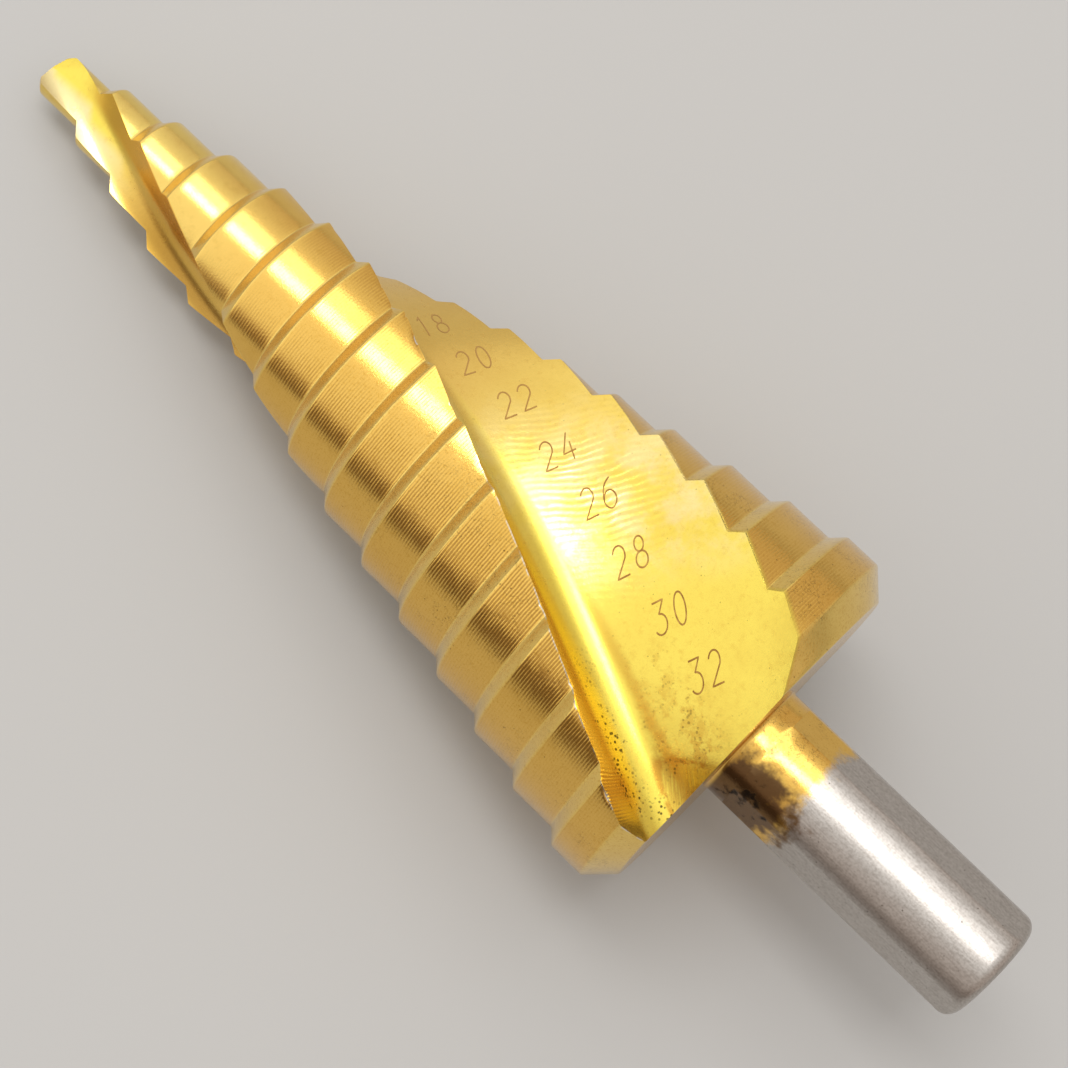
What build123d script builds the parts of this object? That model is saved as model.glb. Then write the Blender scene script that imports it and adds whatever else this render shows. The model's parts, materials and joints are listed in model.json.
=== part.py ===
"""Step drill: a stepped conical cutter with two spiral flutes on a three-flatted shank.

The drill is one piece. It is modelled along its own axis, tip at z = 0 and shank towards +Z,
and is then laid down on its lands the way it comes to rest on a bench.
"""

from build123d import *

import math
import os

import numpy as np

# Stepped body, mm
STEP_COUNT = 15
FIRST_STEP_DIAMETER = 4.0
DIAMETER_INCREMENT = 2.0
STEP_PITCH = 5.0
SHOULDER_ANGLE = 45.0  # degrees between a shoulder and the axis
LAST_LAND_LENGTH = 3.0  # full-diameter land behind the last shoulder
REAR_CHAMFER = 2.0
POINT_ANGLE = 135.0

# Shank, mm
SHANK_DIAMETER = 9.6
SHANK_LENGTH = 24.6
SHANK_FLAT_COUNT = 3
SHANK_FLAT_DEPTH = 0.27
SHANK_COLLAR_LENGTH = 1.8  # round part left between the body and the flats
SHANK_END_RADIUS = 1.1
FIRST_FLAT_ANGLE = 63.5  # about the axis, from the side that faces up at rest

# Flutes, mm and degrees
FLUTE_COUNT = 2
FLUTE_LEAD_LENGTH_FRONT = 129.0  # axial length of one full turn near the tip
FLUTE_LEAD_LENGTH_REAR = 197.0  # and behind the middle
LEAD_CHANGE_DISTANCE = 42.8  # distance from the tip at which the lead changes
LEAD_BLEND_LENGTH = 3.0
CUTTING_EDGE_ANGLE_REAR = 45.1  # cutting edge at the rear face, about the axis
CORE_RADIUS_TIP = 0.74  # axis to the floor at the tip, measured towards the cutting edge
CORE_TAPER = 0.13  # growth of that distance for each mm towards the shank
FLUTE_ANGLE = 107.0  # between the way out to the cutting edge and the flute floor
FLUTE_ANGLE_TIP = 158.0  # the same at the tip, where the flute opens out
FLUTE_OPENING_LENGTH = 5.7  # length over which it opens out
RAKE_ANGLE = 14.0  # hook of the rake face at the cutting edge
FLUTE_CORNER_RADIUS = 3.0
FLUTE_SECTION_SPACING = 2.5
FLUTE_LID_CLEARANCE = 3.0  # between the body and the open side of the flute's cutter
FLUTE_OVERRUN_FRONT = 1.0
FLUTE_OVERRUN_REAR = 2.0

# Resting position
REST_TILT_LIMIT = 25.0
REST_ROLL_LIMIT = 20.0  # the flute that faces up stays within this of straight up
REST_ROLL_STEP = 1.0
REST_ANGLE_TOLERANCE = 1e-4
RIM_SAMPLE_ANGLE = 2.0

# Derived sizes
STEP_RISE = DIAMETER_INCREMENT / 2
SHOULDER_LENGTH = STEP_RISE / math.tan(math.radians(SHOULDER_ANGLE))
FIRST_RADIUS = FIRST_STEP_DIAMETER / 2
LAST_RADIUS = FIRST_RADIUS + (STEP_COUNT - 1) * STEP_RISE
POINT_LENGTH = FIRST_RADIUS / math.tan(math.radians(POINT_ANGLE / 2))
LAST_LAND_END = (STEP_COUNT - 1) * STEP_PITCH + SHOULDER_LENGTH + LAST_LAND_LENGTH
BODY_LENGTH = LAST_LAND_END + REAR_CHAMFER
SHANK_RADIUS = SHANK_DIAMETER / 2
TOTAL_LENGTH = BODY_LENGTH + SHANK_LENGTH


def step_radius(step):
    return FIRST_RADIUS + step * STEP_RISE


def body_profile_points():
    """Half outline of the turned blank as (radius, z), from the tip to the shank's end."""
    points = [(0, 0), (FIRST_RADIUS, POINT_LENGTH)]
    for step in range(1, STEP_COUNT):
        shoulder_start = step * STEP_PITCH
        points.append((step_radius(step - 1), shoulder_start))
        points.append((step_radius(step), shoulder_start + SHOULDER_LENGTH))
    points.append((LAST_RADIUS, LAST_LAND_END))
    points.append((LAST_RADIUS - REAR_CHAMFER, BODY_LENGTH))
    points.append((SHANK_RADIUS, BODY_LENGTH))
    points.append((SHANK_RADIUS, TOTAL_LENGTH))
    points.append((0, TOTAL_LENGTH))
    return points


def turned_blank():
    outline = Polyline([(radius, 0, z) for radius, z in body_profile_points()], close=True)
    blank = revolve(make_face(outline), Axis.Z)
    shank_end_edge = blank.edges().filter_by(GeomType.CIRCLE).sort_by(Axis.Z)[-1]
    return fillet(shank_end_edge, SHANK_END_RADIUS)


def shank_flat_cutter(index):
    """Slab that planes one flat on the shank, from the collar to past the end."""
    angle = FIRST_FLAT_ANGLE + index * 360 / SHANK_FLAT_COUNT
    flat_start = BODY_LENGTH + SHANK_COLLAR_LENGTH
    slab = Box(
        SHANK_RADIUS,
        SHANK_DIAMETER,
        SHANK_LENGTH,
        align=(Align.MIN, Align.CENTER, Align.MIN),
    )
    return Rot(0, 0, angle) * Pos(SHANK_RADIUS - SHANK_FLAT_DEPTH, 0, flat_start) * slab


def cutting_edge_angle(z):
    """Direction of the rake face about the axis, in degrees. It turns right-handed."""
    rate_rear = 360 / FLUTE_LEAD_LENGTH_REAR
    rate_front = 360 / FLUTE_LEAD_LENGTH_FRONT
    ahead = (LEAD_CHANGE_DISTANCE - z) / LEAD_BLEND_LENGTH
    blended = LEAD_BLEND_LENGTH * (max(ahead, 0) + math.log1p(math.exp(-abs(ahead))))
    return CUTTING_EDGE_ANGLE_REAR - rate_rear * (BODY_LENGTH - z) - (rate_front - rate_rear) * blended


def core_radius(z):
    return CORE_RADIUS_TIP + CORE_TAPER * z


def flute_angle(z):
    fade = math.exp(-z / FLUTE_OPENING_LENGTH)
    return FLUTE_ANGLE + (FLUTE_ANGLE_TIP - FLUTE_ANGLE) * fade


def envelope_radius(z):
    return FIRST_RADIUS + STEP_RISE * (z + SHOULDER_LENGTH) / STEP_PITCH


def mean_radius(z):
    """Radius of the plain cone that the cutting edge follows through the middle of the lands."""
    return FIRST_RADIUS + STEP_RISE * (z - (STEP_PITCH + SHOULDER_LENGTH) / 2) / STEP_PITCH


def direction(angle):
    """Unit vector across the axis, this many degrees past the cutting edge."""
    return Vector(math.cos(math.radians(angle)), math.sin(math.radians(angle)), 0)


def rake_way():
    return direction(-RAKE_ANGLE)


def floor_way(z):
    return direction(-flute_angle(z))


def flute_corner(z):
    """Where the lines of rake face and floor would meet if their corner were sharp."""
    opening = math.radians(flute_angle(z))
    hook = math.radians(RAKE_ANGLE)
    depth = (mean_radius(z) - core_radius(z)) * math.sin(opening) / math.sin(opening - hook)
    return Vector(mean_radius(z), 0, 0) - rake_way() * depth


def corner_half_angle(z):
    return math.radians(flute_angle(z) - RAKE_ANGLE) / 2


def corner_tangent_length(z):
    return FLUTE_CORNER_RADIUS / math.tan(corner_half_angle(z))


def corner_centre(z):
    middle_way = (rake_way() + floor_way(z)).normalized()
    return flute_corner(z) + middle_way * (FLUTE_CORNER_RADIUS / math.sin(corner_half_angle(z)))


def flute_section(z):
    """Closed hook-shaped section of one flute: rake face, corner radius, floor and an outer lid."""
    reach = 1.3 * envelope_radius(z) + FLUTE_LID_CLEARANCE
    corner = flute_corner(z)
    centre = corner_centre(z)
    rake_tangent = corner + rake_way() * corner_tangent_length(z)
    floor_tangent = corner + floor_way(z) * corner_tangent_length(z)
    corner_middle = centre + (corner - centre).normalized() * FLUTE_CORNER_RADIUS
    rake_end = corner + rake_way() * reach
    floor_end = corner + floor_way(z) * reach
    lid = direction(-flute_angle(z) / 2) * (1.6 * reach)
    wire = Wire(
        [
            Edge.make_line(rake_end, rake_tangent),
            Edge.make_three_point_arc(rake_tangent, corner_middle, floor_tangent),
            Edge.make_line(floor_tangent, floor_end),
            Edge.make_line(floor_end, lid),
            Edge.make_line(lid, rake_end),
        ]
    )
    return Pos(0, 0, z) * Rot(0, 0, cutting_edge_angle(z)) * wire


def flute_cutter():
    """Twisted loft of the flute's sections, a little longer than the body at both ends."""
    start = -FLUTE_OVERRUN_FRONT
    end = BODY_LENGTH + FLUTE_OVERRUN_REAR
    section_count = math.ceil((end - start) / FLUTE_SECTION_SPACING)
    spacing = (end - start) / section_count
    sections = [flute_section(start + index * spacing) for index in range(section_count + 1)]
    return Solid.make_loft(sections)


def straight_drill():
    """The finished drill, still upright on its own axis."""
    drill = turned_blank()
    for index in range(SHANK_FLAT_COUNT):
        drill -= shank_flat_cutter(index)
    cutter = flute_cutter()
    for index in range(FLUTE_COUNT):
        drill -= Rot(0, 0, index * 360 / FLUTE_COUNT) * cutter
    return drill


def land_start_offset(radius, z):
    """Direction at which the rake side of the flute meets this rim, in degrees past the cutting edge."""
    corner = flute_corner(z)
    rake_tangent = corner + rake_way() * corner_tangent_length(z)
    if rake_tangent.length < radius:
        along = corner.dot(rake_way())
        distance = math.sqrt(along**2 - corner.length**2 + radius**2) - along
        meeting = corner + rake_way() * distance
        return math.degrees(math.atan2(meeting.Y, meeting.X))
    centre = corner_centre(z)
    squares = radius**2 + centre.length**2 - FLUTE_CORNER_RADIUS**2
    half_spread = math.acos(squares / (2 * radius * centre.length))
    return math.degrees(math.atan2(centre.Y, centre.X) + half_spread)


def land_angles(radius, z):
    """Directions about the axis, in degrees, at which this rim is left standing by the flutes."""
    if radius <= SHANK_RADIUS and z >= BODY_LENGTH:
        return [index * RIM_SAMPLE_ANGLE for index in range(round(360 / RIM_SAMPLE_ANGLE))]
    if radius == 0:
        return [0.0]
    lean = flute_angle(z) - 90
    floor_distance = core_radius(z) * math.cos(math.radians(lean))
    half_opening = math.degrees(math.acos(min(floor_distance / radius, 1)))
    start_offset = land_start_offset(radius, z)
    land_start = cutting_edge_angle(z) + start_offset
    land_width = 360 / FLUTE_COUNT - lean - half_opening - start_offset
    sample_count = math.ceil(land_width / RIM_SAMPLE_ANGLE)
    angles = []
    for land in range(FLUTE_COUNT):
        first = land_start + land * 360 / FLUTE_COUNT
        angles += [first + land_width * sample / sample_count for sample in range(sample_count + 1)]
    return angles


def outline_points():
    """Points on every edge of the outline that the flutes leave, from the tip to the shank's end."""
    points = []
    for radius, z in body_profile_points():
        for angle in land_angles(radius, z):
            turn = math.radians(angle)
            points.append((radius * math.cos(turn), radius * math.sin(turn), z))
    return np.array(points)


def up_direction(tilt, roll):
    """Upward direction in the drill's own axes, with the tip lowered by tilt and turned by roll."""
    tilt = math.radians(tilt)
    roll = math.radians(roll)
    return np.array([math.cos(tilt) * math.cos(roll), math.cos(tilt) * math.sin(roll), math.sin(tilt)])


def lowest_point_of(function, low, high):
    """Golden-section search for the lowest value of a function with one valley."""
    ratio = (math.sqrt(5) - 1) / 2
    while high - low > REST_ANGLE_TOLERANCE:
        left = high - ratio * (high - low)
        right = low + ratio * (high - low)
        if function(left) < function(right):
            high = right
        else:
            low = left
    return (low + high) / 2


def rest_direction(drill):
    """Upward direction at rest: the one that brings the centre of gravity lowest."""
    centre = drill.center(CenterOf.MASS)
    arms = outline_points() - np.array([centre.X, centre.Y, centre.Z])

    def gravity_height(tilt, roll):
        return -(arms @ up_direction(tilt, roll)).min()

    def settled_tilt(roll):
        return lowest_point_of(lambda tilt: gravity_height(tilt, roll), 0, REST_TILT_LIMIT)

    def settled_height(roll):
        return gravity_height(settled_tilt(roll), roll)

    rolls = np.arange(-REST_ROLL_LIMIT, REST_ROLL_LIMIT + REST_ROLL_STEP, REST_ROLL_STEP)
    near = min(rolls, key=settled_height)
    roll = lowest_point_of(settled_height, near - REST_ROLL_STEP, near + REST_ROLL_STEP)
    return Vector(*up_direction(settled_tilt(roll), roll))


def bench_plane(drill):
    """Plane that the drill rests on, in the drill's own axes: +X towards the shank, +Z up."""
    up = rest_direction(drill)
    axis = Vector(0, 0, 1)
    along = (axis - up * axis.dot(up)).normalized()
    bench = Plane(origin=(0, 0, 0), x_dir=along, z_dir=up)
    ways = np.array([tuple(bench.x_dir), tuple(bench.y_dir), tuple(bench.z_dir)])
    places = outline_points() @ ways.T
    low = places.min(axis=0)
    high = places.max(axis=0)
    middle_x = (low[0] + high[0]) / 2
    middle_y = (low[1] + high[1]) / 2
    return bench.offset(low[2]).shift_origin(bench.from_local_coords((middle_x, middle_y, low[2])))


drill = straight_drill()
step_drill = bench_plane(drill).to_local_coords(drill)

os.makedirs("parts", exist_ok=True)
export_step(step_drill, "parts/step_drill.step")
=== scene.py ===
"""Step drill: the finished surface of the drill, its size marks, and a soft studio round it."""
import json
import math

import bpy
import numpy as np
from mathutils import Matrix, Vector


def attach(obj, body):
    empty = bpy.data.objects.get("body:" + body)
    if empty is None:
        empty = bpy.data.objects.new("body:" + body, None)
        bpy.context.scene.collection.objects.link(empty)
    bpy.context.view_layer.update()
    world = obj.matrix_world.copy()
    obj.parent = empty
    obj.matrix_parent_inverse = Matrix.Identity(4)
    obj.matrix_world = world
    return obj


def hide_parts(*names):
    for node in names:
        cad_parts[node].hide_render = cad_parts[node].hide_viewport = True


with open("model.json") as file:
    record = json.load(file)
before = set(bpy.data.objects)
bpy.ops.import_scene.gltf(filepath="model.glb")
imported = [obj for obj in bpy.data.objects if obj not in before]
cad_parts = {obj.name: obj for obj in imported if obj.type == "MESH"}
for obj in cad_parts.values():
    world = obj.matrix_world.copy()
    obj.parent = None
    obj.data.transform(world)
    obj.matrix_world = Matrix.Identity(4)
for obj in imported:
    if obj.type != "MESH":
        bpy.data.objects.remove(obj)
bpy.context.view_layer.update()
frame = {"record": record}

MM = 0.001

# Stepped body, mm: the same sizes as the solid
STEP_COUNT = 15
FIRST_STEP_DIAMETER = 4.0
DIAMETER_INCREMENT = 2.0
STEP_PITCH = 5.0
SHOULDER_LENGTH = 1.0
LAST_LAND_LENGTH = 3.0
REAR_CHAMFER = 2.0
STEP_RISE = DIAMETER_INCREMENT / 2
FIRST_RADIUS = FIRST_STEP_DIAMETER / 2
LAST_RADIUS = FIRST_RADIUS + (STEP_COUNT - 1) * STEP_RISE
LAST_LAND_END = (STEP_COUNT - 1) * STEP_PITCH + SHOULDER_LENGTH + LAST_LAND_LENGTH
BODY_LENGTH = LAST_LAND_END + REAR_CHAMFER
REAR_RADIUS = LAST_RADIUS - REAR_CHAMFER

# Shank, mm and degrees
SHANK_RADIUS = 4.8
SHANK_LENGTH = 24.6
SHANK_FLAT_COUNT = 3
SHANK_FLAT_DEPTH = 0.27
SHANK_COLLAR_LENGTH = 1.8
SHANK_END_RADIUS = 1.1
FIRST_FLAT_ANGLE = 63.5
TOTAL_LENGTH = BODY_LENGTH + SHANK_LENGTH
SHANK_FLAT_DISTANCE = SHANK_RADIUS - SHANK_FLAT_DEPTH
SHANK_SECTOR = 360 / SHANK_FLAT_COUNT
SHANK_FLAT_START = BODY_LENGTH + SHANK_COLLAR_LENGTH

# Flutes, mm and degrees
FLUTE_LEAD_LENGTH_FRONT = 129.0
FLUTE_LEAD_LENGTH_REAR = 197.0
LEAD_CHANGE_DISTANCE = 42.8
LEAD_BLEND_LENGTH = 3.0
CUTTING_EDGE_ANGLE_REAR = 45.1
CORE_RADIUS_TIP = 0.74
CORE_TAPER = 0.13
FLUTE_ANGLE = 107.0
FLUTE_ANGLE_TIP = 158.0
FLUTE_OPENING_LENGTH = 5.7
FLUTE_CORNER_RADIUS = 3.0
RAKE_ANGLE = 14.0

# Surface detail that the solid leaves out, mm
OUTER_CORNER_ROUNDING = 0.30
INNER_CORNER_ROUNDING = 0.25
ROOT_ROUNDING = 0.35  # where the shank meets the rear face
NOSE_START = 0.05  # distance of the very point from the solid's
# radius, distance from the tip and rounding of the nose's corners
NOSE_CORNERS = ((0.5, 0.10, 0), (1.5, 0.30, 0.45), (FIRST_RADIUS, 0.85, 0.4))
TIP_SECTION_RADIUS = 1.6  # smaller sections are this one, trimmed to the blank

FAN_LINE_START = (73.7, 2.8)  # distance from the tip and across the floor
FAN_LINE_ANGLE = 48.0  # of the facet's front edge, from straight across
FAN_SLOPE = 0.13
FAN_LAST_ACROSS = -0.6
FAN_FADE_WIDTH = 3.0
FAN_EDGE_DEPTH = 0.08  # at which the facet's look is whole
CHIP_REACH = 0.22
CHIP_SEED = 7
SMALL_CHIP_COUNT = 40
SMALL_CHIP_START = 25
SMALL_CHIP_DEPTH = (0.02, 0.04)  # the least, and the most that is added to it
SMALL_CHIP_WIDTHS = (0.12, 0.3)
# distance from the tip, depth and half length of the chips that show, mm
BIG_CHIPS = [
    (38.4, 0.10, 0.35),
    (59.2, 0.12, 0.30),
    (64.6, 0.14, 0.30),
    (66.0, 0.10, 0.25),
    (72.0, 0.13, 0.30),
]

# Points round a half section, and along the outline
LAND_POINTS = 64
FLOOR_POINTS = 32
BEND_POINTS = 30
SIDE_COUNTS = (LAND_POINTS, FLOOR_POINTS, BEND_POINTS)
HALF_POINTS = sum(SIDE_COUNTS)
EDGE_DISTANCES = np.array([0.0, 0.05, 0.12, 0.22, 0.36, 0.56, 0.85])
EDGE_DISTANCES_LENGTH = 8  # of the side that they fit, and shorter ones have them closer
STATION_SPACING = 0.36
TOLERANCE = 1e-9
ROUNDING_SHARES = (0.33, 0.67)
CYLINDER_SLOPE = 0.2  # below which a station is part of a land, not of a shoulder
FAR_FROM_EDGE = 99.0  # on the floor, the rear face and the shank
SHARP_ANGLE = math.radians(32)

# Loops from the rear face to the end of the shank
REAR_FACE_LOOPS = 11
COLLAR_LOOPS = 4
FLAT_LOOPS = 22
SHANK_END_LOOPS = 8
END_FACE_SHARES = (0.75, 0.5, 0.25)
# directions on the shank at which the land, the floor and the bend start, and the bend ends,
# in degrees from the cutting edge
REAR_SIDE_BOUNDS = (20, 146, 170, 200)


# ---------------------------------------------------------------- placement

def mount(name):
    return next(m for m in frame["record"]["mounts"] if m["name"] == name)


def drill_placement():
    """Matrix from the drill's own axes in mm (tip at zero, shank towards +Z) to the scene."""
    along = Vector(mount("shank")["axis"]).normalized()
    flat = Vector(mount("jaw_flat_1")["axis"]).normalized()
    x_axis = Matrix.Rotation(math.radians(-FIRST_FLAT_ANGLE), 3, along) @ flat
    y_axis = along.cross(x_axis)
    mount_distance = (SHANK_FLAT_START + TOTAL_LENGTH - SHANK_END_RADIUS) / 2
    tip = Vector(mount("shank")["pos_m"]) - along * mount_distance * MM
    turn = Matrix((x_axis, y_axis, along)).transposed()
    return Matrix.Translation(tip) @ turn.to_4x4() @ Matrix.Scale(MM, 4)


PLACEMENT = drill_placement()


def placed(points):
    """Drill coordinates in mm, as an (n, 3) array, taken to the scene."""
    matrix = np.array(PLACEMENT)
    return points @ matrix[:3, :3].T + matrix[:3, 3]


# ---------------------------------------------------------------- flute law

def cutting_edge_angle(z):
    rate_rear = 360 / FLUTE_LEAD_LENGTH_REAR
    rate_front = 360 / FLUTE_LEAD_LENGTH_FRONT
    blended = LEAD_BLEND_LENGTH * np.logaddexp(0, (LEAD_CHANGE_DISTANCE - z) / LEAD_BLEND_LENGTH)
    turned_by = rate_rear * (BODY_LENGTH - z)
    return CUTTING_EDGE_ANGLE_REAR - turned_by - (rate_front - rate_rear) * blended


def core_radius(z):
    return CORE_RADIUS_TIP + CORE_TAPER * z


def flute_angle(z):
    opened = (FLUTE_ANGLE_TIP - FLUTE_ANGLE) * np.exp(-z / FLUTE_OPENING_LENGTH)
    return np.radians(FLUTE_ANGLE + opened)


def floor_point(z, across):
    """Point on the flute floor, across mm from its inner corner, with the cutting edge at zero."""
    opening = flute_angle(z)
    return core_radius(z) + across * np.cos(opening), -across * np.sin(opening)


def turned(x, y, degrees):
    cosine = np.cos(np.radians(degrees))
    sine = np.sin(np.radians(degrees))
    return x * cosine - y * sine, x * sine + y * cosine


# ---------------------------------------------------------------- outline of the blank

def rounded(corners):
    """Outline through (radius, z) corners, each with its rounding, with evenly spaced stations."""
    outline = [np.array(corners[0][:2])]
    for before, corner, after in zip(corners, corners[1:], corners[2:]):
        here = np.array(corner[:2])
        back = np.array(before[:2]) - here
        ahead = np.array(after[:2]) - here
        back /= np.linalg.norm(back)
        ahead /= np.linalg.norm(ahead)
        half_angle = math.acos(np.clip(back @ ahead, -1, 1)) / 2
        trim = corner[2] / math.tan(half_angle)
        start = here + back * trim
        end = here + ahead * trim
        outline += straight(outline[-1], start)
        for share in ROUNDING_SHARES:
            bent = (1 - share) ** 2 * start + 2 * share * (1 - share) * here + share**2 * end
            outline.append(bent)
        outline.append(end)
    outline += straight(outline[-1], np.array(corners[-1][:2]))
    return np.array(outline)


def straight(start, end):
    count = max(1, math.ceil(np.linalg.norm(end - start) / STATION_SPACING))
    return [start + (end - start) * index / count for index in range(1, count + 1)]


def blank_outline():
    """Stations of the stepped body as (radius, z), from the tip to the rear face."""
    corners = list(NOSE_CORNERS)
    for step in range(1, STEP_COUNT):
        radius = FIRST_RADIUS + step * STEP_RISE
        start = step * STEP_PITCH
        corners.append((radius - STEP_RISE, start, INNER_CORNER_ROUNDING))
        corners.append((radius, start + SHOULDER_LENGTH, OUTER_CORNER_ROUNDING))
    corners.append((LAST_RADIUS, LAST_LAND_END, OUTER_CORNER_ROUNDING))
    corners.append((REAR_RADIUS, BODY_LENGTH, OUTER_CORNER_ROUNDING))
    corners.append((REAR_RADIUS - 1, BODY_LENGTH, 0))  # only turns the corner before it
    outline = rounded(corners)
    behind = outline[:, 1] >= BODY_LENGTH - TOLERANCE
    return outline[: np.argmax(behind) + 1]


# ---------------------------------------------------------------- sections of the body

def spread(length, count):
    """Distances from zero to length, close together at the start, one for each point."""
    near = EDGE_DISTANCES * min(1.0, length / EDGE_DISTANCES_LENGTH)
    rest = np.linspace(near[-1], length, count - len(near) + 2)[1:]
    return np.concatenate([near, rest])[: count + 1]


def mean_radius(z):
    return FIRST_RADIUS + STEP_RISE * (z - (STEP_PITCH + SHOULDER_LENGTH) / 2) / STEP_PITCH


def flute_profile(reach, z):
    """Floor, and the way from inner corner to cutting edge, of the flute beside the edge at zero.

    Also gives the place of every point across the floor, counted from straight inside the cutting
    edge, and the distance of the later ones from that edge."""
    opening = float(flute_angle(z))
    hook = math.radians(RAKE_ANGLE)
    floor_way = np.array([math.cos(opening), -math.sin(opening)])
    rake_way = np.array([math.cos(hook), -math.sin(hook)])
    rim = mean_radius(z)
    depth = (rim - core_radius(z)) * math.sin(opening) / math.sin(opening - hook)
    corner = np.array([rim, 0]) - rake_way * depth
    half_angle = (opening - hook) / 2
    trim = FLUTE_CORNER_RADIUS / math.tan(half_angle)
    middle_way = (rake_way + floor_way) / np.linalg.norm(rake_way + floor_way)
    centre = corner + middle_way * FLUTE_CORNER_RADIUS / math.sin(half_angle)

    def far_end(way):
        """Distance along one side of the flute from the corner to the circle of the blank."""
        along = corner @ way
        return -along + math.sqrt(along**2 - corner @ corner + reach**2)

    heel = max(far_end(floor_way), trim)
    across = np.linspace(heel, trim, FLOOR_POINTS + 1)[:-1]
    floor = corner + floor_way * across[:, None]
    core_offset = depth * math.sin(hook) / math.sin(opening)

    # the corner's arc ends at the rake face, or at the blank where it reaches that first
    rake_length = max(far_end(rake_way) - trim, 0)
    arc_end = hook_bearing(corner + rake_way * trim - centre)
    if far_end(rake_way) < trim:
        distance = np.linalg.norm(centre)
        squares = reach**2 + distance**2 - FLUTE_CORNER_RADIUS**2
        bearing = math.atan2(centre[1], centre[0]) + math.acos(squares / (2 * reach * distance))
        arc_end = hook_bearing(reach * np.array([math.cos(bearing), math.sin(bearing)]) - centre)
    arc_start = hook_bearing(corner + floor_way * trim - centre)
    length = rake_length + FLUTE_CORNER_RADIUS * (arc_start - arc_end)
    from_edge = spread(length, BEND_POINTS)[::-1]
    on_rake = corner + rake_way * (trim + rake_length - from_edge)[:, None]
    angle = arc_end + (from_edge - rake_length) / FLUTE_CORNER_RADIUS
    on_arc = centre + FLUTE_CORNER_RADIUS * np.stack([np.cos(angle), np.sin(angle)], 1)
    bend = np.where((from_edge < rake_length)[:, None], on_rake, on_arc)
    bend_across = trim - core_offset - (length - from_edge)
    return floor, bend, np.concatenate([across - core_offset, bend_across[:-1]]), from_edge


def hook_bearing(arm):
    """Direction of an arm from the corner's centre, in radians from zero to a full turn."""
    return math.atan2(arm[1], arm[0]) % (2 * math.pi)


def fan_depth(across, z):
    """How far the facet where the cutter ran out at the rear lies below the flute floor."""
    line_z, line_across = FAN_LINE_START
    way = math.radians(FAN_LINE_ANGLE)
    past = (z - line_z) * math.sin(way) - (across - line_across) * math.cos(way)
    share = np.clip((across - FAN_LAST_ACROSS) / FAN_FADE_WIDTH, 0, 1)
    return FAN_SLOPE * np.maximum(past, 0) * share**2 * (3 - 2 * share)


def chipped(points, distance, depth):
    """Points beside the cutting edge at zero, pulled in to both sides of it by a chip."""
    pull = depth * np.exp(-((distance / CHIP_REACH) ** 2))
    return points + np.stack([-pull, pull], 1)


def half_section(radius, z, land_chip, rake_chip):
    """Half of one section: a land, then floor, inner corner and rake face of the next flute."""
    reach = max(radius, TIP_SECTION_RADIUS)
    floor, bend, across, from_edge = flute_profile(reach, z)
    edge = bend[-1]
    land_start = math.atan2(edge[1], edge[0])
    land_angle = math.pi + math.atan2(floor[0, 1], floor[0, 0]) - land_start
    along_land = spread(land_angle * reach, LAND_POINTS)[:-1]
    bearing = land_start + along_land / reach
    land = reach * np.stack([np.cos(bearing), np.sin(bearing)], 1)
    land = chipped(land, along_land, land_chip)
    bend = chipped(bend, from_edge, rake_chip)[:-1]
    fan = fan_depth(across, z)
    floor_normal = -np.array([math.sin(flute_angle(z)), math.cos(flute_angle(z))])
    flute = np.concatenate([floor, bend]) + fan[:, None] * floor_normal
    section = np.concatenate([land, -flute])
    size = np.linalg.norm(section, axis=1, keepdims=True)
    section = section * np.minimum(1, radius / size)

    facts = {
        "land": np.repeat([1, 0, 0], SIDE_COUNTS),
        "floor": np.repeat([0, 1, 0], SIDE_COUNTS),
        "gutter": np.repeat([0, 0, 1], SIDE_COUNTS),
        "across": np.concatenate([np.zeros(LAND_POINTS), across]),
        "fan": np.concatenate([np.zeros(LAND_POINTS), np.clip(fan / FAN_EDGE_DEPTH, 0, 1)]),
        "from_edge": np.concatenate(
            [along_land, np.full(FLOOR_POINTS, FAR_FROM_EDGE), from_edge[:-1]]
        ),
        "chip": np.repeat([land_chip, 0, rake_chip], SIDE_COUNTS),
    }
    return section, facts


def edge_chips(stations, side, rng):
    """Depth of the small chips along one cutting edge, at each station."""
    centres = rng.uniform(SMALL_CHIP_START, BODY_LENGTH, SMALL_CHIP_COUNT)
    least, more = SMALL_CHIP_DEPTH
    depths = least + more * rng.uniform(size=SMALL_CHIP_COUNT) ** 2
    widths = rng.uniform(*SMALL_CHIP_WIDTHS, SMALL_CHIP_COUNT)
    chips = list(zip(centres, depths, widths))
    if side == 0:
        chips += BIG_CHIPS
    depth = np.zeros(len(stations))
    for centre, size, width in chips:
        depth += size * np.exp(-(((stations - centre) / width) ** 2))
    return depth


def body_loops():
    """Every section of the body as (loops, points, 3), with facts on each point."""
    rng = np.random.default_rng(CHIP_SEED)
    outline = blank_outline()
    chips = [edge_chips(outline[:, 1], side, rng) for side in range(2)]
    slopes = np.gradient(outline, axis=0)
    on_cylinder = np.abs(slopes[:, 0]) < CYLINDER_SLOPE * np.abs(slopes[:, 1])
    loops = []
    facts = []
    for index, (radius, z) in enumerate(outline):
        points = []
        for side in range(2):
            section, fact = half_section(radius, z, chips[side][index], chips[1 - side][index])
            x, y = turned(section[:, 0], section[:, 1], cutting_edge_angle(z) + 180 * side)
            points.append(np.stack([x, y, np.full(HALF_POINTS, z)], 1))
            fact["rings"] = fact["land"] * on_cylinder[index]
            fact["shoulder"] = fact["land"] * (not on_cylinder[index])
            facts.append(fact)
        loops.append(np.concatenate(points))
    gathered = {name: np.concatenate([fact[name] for fact in facts]) for name in facts[0]}
    return np.array(loops), gathered


# ---------------------------------------------------------------- rear face and shank

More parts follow.
